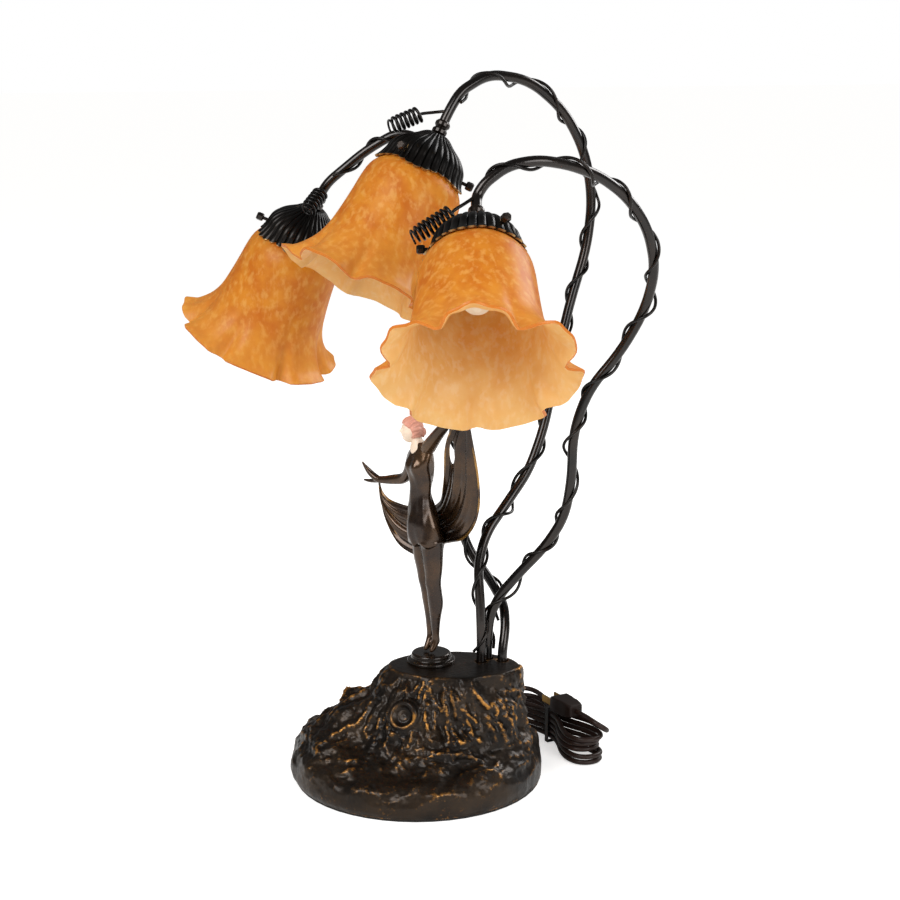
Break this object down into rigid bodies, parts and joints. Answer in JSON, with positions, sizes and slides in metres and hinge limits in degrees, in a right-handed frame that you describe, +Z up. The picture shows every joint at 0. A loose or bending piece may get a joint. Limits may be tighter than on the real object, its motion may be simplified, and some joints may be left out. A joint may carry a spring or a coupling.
{
  "type": "figural table lamp",
  "caption": "Bronze-coloured table lamp: a dancer on a cast stump beside bent stems wound with vine wire that carry ruffled amber glass shades.",
  "frame": {"origin": "centre of the round foot on the table", "axes": "+Z up, -Y the way the dancer faces, +X to the dancer's left"},
  "size_m": [0.5562, 0.3254, 0.6099],
  "materials": {
    "bronze_patina": "black-brown patina over cast metal, rubbed to gold-bronze on the high spots",
    "gallery_metal": "dark bronze patina",
    "vine_wire": "near-black patina",
    "felt": "dark felt",
    "brown_rubber": "matt",
    "brass": "satin",
    "zinc_steel": "zinc plated",
    "block_plastic": "moulded",
    "ivory_resin": "ivory, satin",
    "salmon_resin": "salmon-coloured hair, satin",
    "amber_glass": "frosted, mottled amber outside, pale yellow inside",
    "brown_flex": "satin vinyl insulation",
    "tie_wire": "black twist tie",
    "plug_plastic": "moulded vinyl",
    "bulb_glass": "frosted"
  },
  "bodies": {
    "lamp": {"base_casting": "bronze_patina", "base_felt": "felt", "cord_bushing": "brown_rubber", "stem_plate": "brass", "stem_plate_screws": "zinc_steel", "terminal_block": "block_plastic", "figure_plinth": "bronze_patina", "figure_stud": "zinc_steel", "figure_nut": "zinc_steel", "dancer_body": "bronze_patina", "dancer_right_arm": "bronze_patina", "dancer_left_arm": "bronze_patina", "dancer_head": "ivory_resin", "dancer_hair": "salmon_resin", "drape": "bronze_patina", "stem_a": "bronze_patina", "lead_a": "brown_flex", "vine_a": "vine_wire", "tendril_a": "vine_wire", "gallery_a": "gallery_metal", "shade_a": "amber_glass", "stem_b": "bronze_patina", "lead_b": "brown_flex", "vine_b": "vine_wire", "tendril_b": "vine_wire", "gallery_b": "gallery_metal", "shade_b": "amber_glass", "stem_c": "bronze_patina", "lead_c": "brown_flex", "vine_c": "vine_wire", "tendril_c": "vine_wire", "gallery_c": "gallery_metal", "shade_c": "amber_glass", "bead_collars": "bronze_patina", "nipples": "brass", "nipple_nuts": "brass", "lampholders": "brass", "bulb_caps": "brass", "bulbs": "bulb_glass", "cord_inside": "brown_flex", "cord_run": "brown_flex", "cord_hank": "brown_flex", "cord_tie": "tie_wire", "cord_tail": "brown_flex", "plug_body": "plug_plastic", "plug_blades": "brass"},
    "screw_a1": {"thumbscrew_a1": "gallery_metal"},
    "screw_a2": {"thumbscrew_a2": "gallery_metal"},
    "screw_a3": {"thumbscrew_a3": "gallery_metal"},
    "screw_b1": {"thumbscrew_b1": "gallery_metal"},
    "screw_b2": {"thumbscrew_b2": "gallery_metal"},
    "screw_b3": {"thumbscrew_b3": "gallery_metal"},
    "screw_c1": {"thumbscrew_c1": "gallery_metal"},
    "screw_c2": {"thumbscrew_c2": "gallery_metal"},
    "screw_c3": {"thumbscrew_c3": "gallery_metal"}
  },
  "joints": [
    {"name": "screw_a1_back_off", "type": "slide", "parent": "lamp", "child": "screw_a1", "axis": [-1, 0, 0], "range_m": [0, 0.004]},
    {"name": "screw_a2_back_off", "type": "slide", "parent": "lamp", "child": "screw_a2", "axis": [0.5, 0.7578, -0.4192], "range_m": [0, 0.004]},
    {"name": "screw_a3_back_off", "type": "slide", "parent": "lamp", "child": "screw_a3", "axis": [0.5, -0.7578, 0.4192], "range_m": [0, 0.004]},
    {"name": "screw_b1_back_off", "type": "slide", "parent": "lamp", "child": "screw_b1", "axis": [-0.5008, -0.8656, 0], "range_m": [0, 0.004]},
    {"name": "screw_b2_back_off", "type": "slide", "parent": "lamp", "child": "screw_b2", "axis": [-0.2748, 0.7367, -0.6179], "range_m": [0, 0.004]},
    {"name": "screw_b3_back_off", "type": "slide", "parent": "lamp", "child": "screw_b3", "axis": [0.7756, 0.1289, 0.6179], "range_m": [0, 0.004]},
    {"name": "screw_c1_back_off", "type": "slide", "parent": "lamp", "child": "screw_c1", "axis": [-0.5271, 0.8498, 0], "range_m": [0, 0.004]},
    {"name": "screw_c2_back_off", "type": "slide", "parent": "lamp", "child": "screw_c2", "axis": [0.9151, -0.0208, -0.4027], "range_m": [0, 0.004]},
    {"name": "screw_c3_back_off", "type": "slide", "parent": "lamp", "child": "screw_c3", "axis": [-0.388, -0.829, 0.4027], "range_m": [0, 0.004]}
  ]
}
